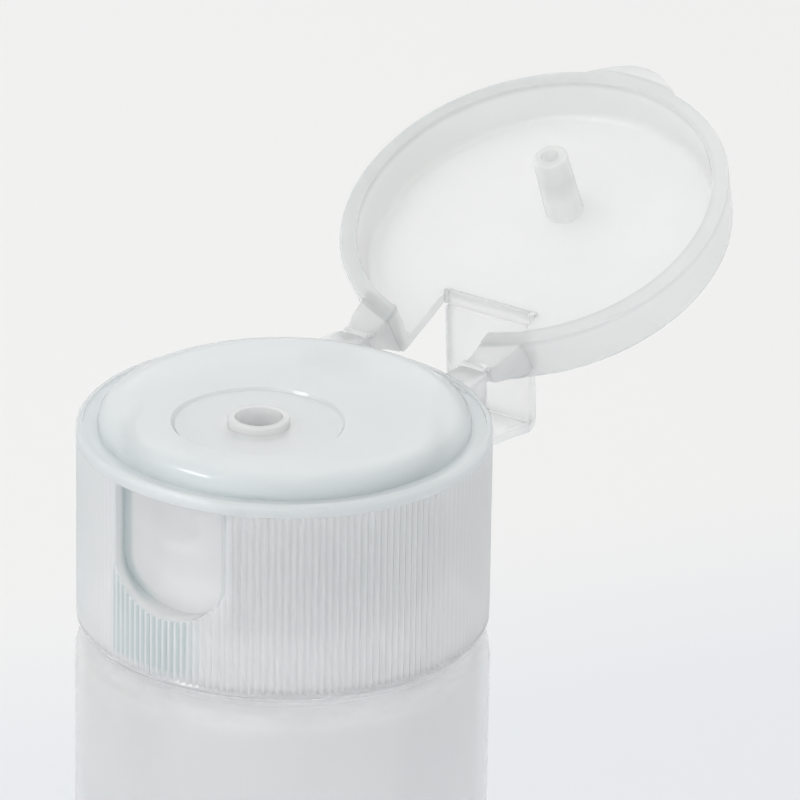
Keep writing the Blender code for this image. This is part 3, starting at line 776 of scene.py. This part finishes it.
class BOTTLE_OT_cap(bpy.types.Operator):
    """Finish the ribbed cap base and add the band that ends its ribs"""

    bl_idname = "travel_bottle.cap"
    bl_label = "Cap Base"

    def execute(self, context):
        finish = context.scene.cap_finish
        material = moulded("cap plastic", finish, cap_painted_light_and_shade)
        dress("cap_base", material)
        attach(self.foot_band(finish, material), "cap")
        return {"FINISHED"}

    def foot_band(self, finish, material):
        """Thin ring that closes the grooves between the ribs at the cap's lower edge."""
        low = CAP_FOOT + 0.02 * MM
        top = CAP_FOOT + finish.band_height
        outer = CAP_RADIUS - 0.06 * MM
        width = 0.35 * MM
        inner = outer - width
        bevel = 0.1 * MM
        profile = ((inner, low), (outer - bevel, low), (outer, low + bevel))
        profile += ((outer, top), (inner, top + width))
        steps = 180
        sections = []
        for step in range(steps):
            angle = 2 * math.pi * step / steps
            sections.append([Vector((r * math.cos(angle), r * math.sin(angle), z)) for r, z in profile])
        band = new_piece("cap_foot_band", swept(sections, closed=True), material)
        return band


class BOTTLE_OT_sleeve_thread(bpy.types.Operator):
    """Add the screw thread inside the cap's sleeve"""

    bl_idname = "travel_bottle.sleeve_thread"
    bl_label = "Sleeve Thread"

    def execute(self, context):
        depth = context.scene.thread_sizes.sleeve_depth
        finish = context.scene.cap_finish
        bore = min(node_radii("cap_base", SLEEVE_FOOT - 0.3 * MM, SLEEVE_FOOT + 0.3 * MM))
        screw_thread(context, "sleeve_thread", bore, -depth, PITCH / 2, finish, "cap")
        return {"FINISHED"}


class BOTTLE_OT_lid(bpy.types.Operator):
    """Finish the flip-top lid with its pin"""

    bl_idname = "travel_bottle.lid"
    bl_label = "Lid"

    def execute(self, context):
        dress("lid", moulded("lid plastic", context.scene.lid_finish, lid_tone_and_painted_shade, lid_clearness))
        return {"FINISHED"}


class BOTTLE_OT_hinge_ears(bpy.types.Operator):
    """Fill out the wedge-shaped hinge ears on the cap and the lid"""

    bl_idname = "travel_bottle.hinge_ears"
    bl_label = "Hinge Ears"

    def execute(self, context):
        lid_finish = context.scene.lid_finish
        film_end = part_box("hinge_film_right")[1].x
        lid_ear = {
            "wall": LID_RADIUS - 0.5 * MM, "gap": 0.34 * MM, "height": lid_finish.ear_height,
            "thickness": 1.3 * MM, "tip": film_end + 0.15 * MM, "rise": 1, "turn": -OPEN_ANGLE,
        }
        cap_ear = {
            "wall": CAP_RADIUS - 0.5 * MM, "gap": 0.12 * MM, "height": 3.5 * MM,
            "thickness": 2.5 * MM, "tip": film_end + 0.4 * MM, "rise": -1, "turn": 0.0,
        }
        self.add_pair("lid", lid_ear, moulded("lid ear plastic", lid_finish, lid_tone_and_painted_shade))
        self.add_pair("cap", cap_ear, moulded("cap ear plastic", context.scene.cap_finish, even))
        return {"FINISHED"}

    def add_pair(self, part, ear, material):
        """Add the left and the right ear of the lid or the cap."""
        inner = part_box("hinge_film_right")[0].x - 0.13 * MM
        width = bpy.context.scene.lid_finish.ear_width
        for side, name in ((-1, "left"), (1, "right")):
            piece = new_piece(part + "_ear_" + name, self.wedge(ear, inner, width, side), material)
            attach(piece, part)

    def wedge(self, ear, inner, width, side):
        """Ear between the wall and the hinge line; its outer side runs back into the wall.

        Its rises are measured from the hinge line with the lid shut, upwards on the lid and
        downwards on the cap, and then turn with the lid.
        """
        sections = []
        for share in (0.0, 0.05, 0.3, 0.62, 0.74, 0.86, 1.0):
            x = inner + width * share
            trim = 0.12 * MM if share in (0.0, 1.0) else 0.0
            slope = max(0.0, (x - ear["tip"]) / (inner + width - ear["tip"]))
            wall_y = math.sqrt(ear["wall"] ** 2 - x * x)
            tip_y = wall_y + (HINGE.y - 0.15 * MM - wall_y) * (1 - slope ** 1.5) + 0.05 * MM
            near = ear["gap"] + trim
            far = near + ear["thickness"] - trim
            root = ear["height"] - trim - 0.8 * MM * slope
            outline = (
                (wall_y - 0.5 * MM, near), (tip_y - 0.25 * MM, near), (tip_y, near + 0.2 * MM),
                (tip_y, far), (tip_y - 0.2 * MM, far + 0.25 * MM),
                ((wall_y + tip_y) / 2, (far + root) / 2), (wall_y + 0.15 * MM, root),
                (wall_y - 0.5 * MM, root),
            )
            points = [swing((y, HINGE.z + ear["rise"] * rise), ear["turn"]) for y, rise in outline]
            sections.append([Vector((side * x, y, z)) for y, z in points])
        return swept(sections)


class BOTTLE_OT_hinge_webs(bpy.types.Operator):
    """Add the two thin webs that join the hinge ears"""

    bl_idname = "travel_bottle.hinge_webs"
    bl_label = "Hinge Webs"

    def execute(self, context):
        finish = context.scene.lid_finish
        material = moulded("web plastic", finish, even)
        base_end = (HINGE.y - 0.9 * MM, HINGE.z - 0.42 * MM)
        base_bend = (HINGE.y - 0.4 * MM, HINGE.z - 0.36 * MM)
        lid_end = swing((HINGE.y - 0.9 * MM, HINGE.z + 0.62 * MM), -OPEN_ANGLE)
        lid_bend = swing((HINGE.y - 0.4 * MM, HINGE.z + 0.52 * MM), -OPEN_ANGLE)
        points = (base_end, base_bend, (HINGE.y, HINGE.z - 0.04 * MM), lid_bend, lid_end)
        thin = finish.web_thickness
        for side in ("left", "right"):
            low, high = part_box("hinge_film_" + side)
            ends = (low.x - 0.12 * MM, high.x + 0.12 * MM)
            piece = web("hinge_web_" + side, points, (0.55 * MM, thin, thin, 0.55 * MM), *ends, material)
            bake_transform(piece)
            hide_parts("hinge_film_" + side)
        return {"FINISHED"}


class BOTTLE_OT_strap(bpy.types.Operator):
    """Finish the strap's two leaves and add the webs at their folds"""

    bl_idname = "travel_bottle.strap"
    bl_label = "Snap Strap"

    def execute(self, context):
        finish = context.scene.lid_finish
        plastic = moulded("strap plastic", finish, strap_painted_edge_shade, strap_clearness)
        for node in ("strap_lower_leaf", "strap_upper_leaf"):
            dress(node, plastic)
        thin = finish.web_thickness
        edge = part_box("strap_film_base")[1].x
        foot = (STRAP_FOOT.y, STRAP_FOOT.z)
        corner = (STRAP_CORNER.y, STRAP_CORNER.z)
        end = tuple((a + b) / 2 for a, b in zip(*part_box("strap_film_lid")))[1:]
        lower = self.direction(foot, corner)
        upper = self.direction(corner, end)
        overlap = 0.75 * MM

        path = ((foot[0] - 0.3 * MM, foot[1] - 0.8 * MM), foot, self.along(foot, lower, overlap))
        base = web("strap_web_base", path, (0.6 * MM, thin, LEAF_THICKNESS), -edge, edge, plastic)
        self.along(foot, lower, 0.5 * MM)
        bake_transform(base)

        bend = 0.45 * MM
        path = (
            self.along(corner, lower, -overlap), self.along(corner, lower, -bend),
            self.along(corner, upper, bend), self.along(corner, upper, overlap),
        )
        fold = web("strap_web_corner", path, (LEAF_THICKNESS, LEAF_THICKNESS), -edge, edge, plastic)
        start = self.along(corner, lower, -0.4 * MM)
        stop = self.along(corner, upper, 0.4 * MM)
        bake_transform(fold)

        path = (self.along(end, upper, -0.4 * MM), end, self.along(end, upper, overlap))
        edge += 0.22 * MM
        tie = web("strap_web_lid", path, (0.6 * MM, thin, 0.6 * MM), -edge, edge, plastic)
        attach(tie, "lid")
        for piece, node in ((base, "base"), (fold, "corner"), (tie, "lid")):
            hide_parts("strap_film_" + node)
        return {"FINISHED"}

    def direction(self, start, end):
        """Unit (y, z) direction from one point to another."""
        return Vector((end[0] - start[0], end[1] - start[1])).normalized()

    def along(self, point, direction, length):
        """Point at a distance from another one."""
        return (point[0] + direction[0] * length, point[1] + direction[1] * length)


class BOTTLE_OT_stage(bpy.types.Operator):
    """Set up the pale floor, the soft lamps and the camera"""

    bl_idname = "travel_bottle.stage"
    bl_label = "Stage"

    def execute(self, context):
        stage = context.scene.stage_settings
        self.camera_axes(stage)
        self.floor(stage)
        self.surround(stage)
        self.lamps()
        self.camera(stage)
        context.scene.view_settings.view_transform = "Standard"
        return {"FINISHED"}

    def camera_axes(self, stage):
        """Find the directions towards the camera, to the picture's right and up in it."""
        side, rise = stage.azimuth, stage.elevation
        self.back = Vector((
            math.sin(side) * math.cos(rise), -math.cos(side) * math.cos(rise), math.sin(rise)
        ))
        self.right = Vector((math.cos(side), math.sin(side), 0.0))
        self.up = self.back.cross(self.right)

    def floor(self, stage):
        """Wide floor whose tone changes softly behind the bottle."""
        form = bmesh.new()
        bmesh.ops.create_grid(form, x_segments=1, y_segments=1, size=4.0)
        material, recipe = new_recipe("floor paint")
        x, y, _ = recipe.parts(recipe.position())
        away = y * math.cos(stage.azimuth) - x * math.sin(stage.azimuth)
        across = x * math.cos(stage.azimuth) + y * math.sin(stage.azimuth)
        slant = 0.35
        share = recipe.ramp(away - across * slant, 130 * MM, 185 * MM)
        mottle = recipe.noise(recipe.position(), 60 * MM, 2.0)
        base = recipe.mix(share, tuple(stage.near_floor), tuple(stage.floor_colour))
        shader = recipe.node(
            "ShaderNodeBsdfPrincipled", None,
            {"Base Color": base, "Roughness": 0.7 + mottle * 0.1, "Specular IOR Level": 0.2},
        )
        recipe.node("ShaderNodeOutputMaterial", None, {"Surface": shader})
        new_piece("floor", form, material)

    def surround(self, stage):
        """Even light from all round, which the camera sees as a pale backdrop."""
        world = bpy.data.worlds.new("Surround")
        world.use_nodes = True
        bpy.context.scene.world = world
        recipe = Recipe(world.node_tree)
        path = recipe.node("ShaderNodeLightPath").socket.node
        seen = [Wire(recipe, path.outputs[name]) for name in
                ("Is Camera Ray", "Is Glossy Ray", "Is Transmission Ray")]
        direct = recipe.highest(recipe.highest(seen[0], seen[1]), seen[2])
        strength = stage.daylight + direct * (1.0 - stage.daylight)
        shade = recipe.node(
            "ShaderNodeBackground", None, {"Color": tuple(stage.backdrop), "Strength": strength}
        )
        recipe.node("ShaderNodeOutputWorld", None, {"Surface": shade})

    def lamps(self):
        """Soft lamps: a wide main one above on the left, a fill and a light behind.

        A lamp's place is its direction: to the picture's right, towards the camera, and up.
        """
        target = Vector((0.0, 0.01, 0.085))
        reach = 1.1
        toward = Vector((self.back.x, self.back.y, 0.0)).normalized()
        for name, place, width, height, power in (
            ("main lamp", (-0.58, 0.134, 0.803), 0.42, 0.16, 1.9),
            ("fill lamp", (-0.50, 0.80, 0.30), 1.2, 1.2, 2.4),
            ("back lamp", (0.15, -0.75, 0.60), 0.9, 0.9, 0.8),
        ):
            direction = self.right * place[0] + toward * place[1] + Vector((0, 0, place[2]))
            direction.normalize()
            light = bpy.data.lights.new(name, "AREA")
            light.shape = "ELLIPSE"
            light.size = width
            light.size_y = height
            light.energy = power
            lamp = bpy.data.objects.new(name, light)
            lamp.location = target + direction * reach
            lamp.rotation_euler = direction.to_track_quat("Z", "Y").to_euler()
            bpy.context.scene.collection.objects.link(lamp)

    def camera(self, stage):
        """Long-lens camera at the photograph's angle."""
        picture = 800
        scale = picture / stage.view_width
        # Where the bottle's axis at the hinge's height falls in the picture
        axis_pixel = (284.8, 421.0)
        turn = Matrix((self.right, self.up, self.back)).transposed()
        turn = turn @ Matrix.Rotation(stage.roll, 3, "Z")
        middle = Vector((0.0, 0.0, HINGE.z))
        middle += turn.col[0] * (picture / 2 - axis_pixel[0]) / scale
        middle += turn.col[1] * (axis_pixel[1] - picture / 2) / scale
        lens = bpy.data.cameras.new("camera")
        lens.sensor_width = 36.0
        lens.lens = 36.0 * stage.distance / stage.view_width
        lens.clip_start = 0.01
        lens.clip_end = 20.0
        item = bpy.data.objects.new("camera", lens)
        item.matrix_world = Matrix.Translation(middle + self.back * stage.distance) @ turn.to_4x4()
        bpy.context.scene.collection.objects.link(item)
        bpy.context.scene.camera = item


OPERATORS = (
    BOTTLE_OT_body, BOTTLE_OT_neck_thread, BOTTLE_OT_seal, BOTTLE_OT_cap, BOTTLE_OT_sleeve_thread,
    BOTTLE_OT_lid, BOTTLE_OT_hinge_ears, BOTTLE_OT_hinge_webs, BOTTLE_OT_strap, BOTTLE_OT_stage,
)
SETTINGS = {
    "bottle_finish": BottleFinish,
    "cap_finish": CapFinish,
    "lid_finish": LidFinish,
    "thread_sizes": ThreadSizes,
    "stage_settings": StageSettings,
}


class BOTTLE_PT_panel(bpy.types.Panel):
    """Lists the bottle's settings and operators in the sidebar"""

    bl_idname = "BOTTLE_PT_panel"
    bl_label = "Travel Bottle"
    bl_space_type = "VIEW_3D"
    bl_region_type = "UI"
    bl_category = "Bottle"

    def draw(self, context):
        for operator in OPERATORS:
            self.layout.operator(operator.bl_idname, text=operator.bl_label)
        for name, group in SETTINGS.items():
            box = self.layout.box()
            box.label(text=name.replace("_", " ").capitalize())
            for setting in getattr(context.scene, name).bl_rna.properties:
                if not setting.is_readonly and setting.identifier != "name":
                    box.prop(getattr(context.scene, name), setting.identifier)


def register():
    for group in SETTINGS.values():
        bpy.utils.register_class(group)
    for name, group in SETTINGS.items():
        setattr(bpy.types.Scene, name, PointerProperty(type=group))
    for operator in OPERATORS:
        bpy.utils.register_class(operator)
    bpy.utils.register_class(BOTTLE_PT_panel)


def unregister():
    bpy.utils.unregister_class(BOTTLE_PT_panel)
    for operator in reversed(OPERATORS):
        bpy.utils.unregister_class(operator)
    for name, group in SETTINGS.items():
        delattr(bpy.types.Scene, name)
        bpy.utils.unregister_class(group)


def main():
    """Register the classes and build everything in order."""
    register()
    bpy.ops.travel_bottle.body()
    bpy.ops.travel_bottle.neck_thread()
    bpy.ops.travel_bottle.seal()
    bpy.ops.travel_bottle.cap()
    bpy.ops.travel_bottle.sleeve_thread()
    bpy.ops.travel_bottle.lid()
    bpy.ops.travel_bottle.hinge_ears()
    bpy.ops.travel_bottle.hinge_webs()
    bpy.ops.travel_bottle.strap()
    bpy.ops.travel_bottle.stage()


if __name__ == "__main__":
    main()
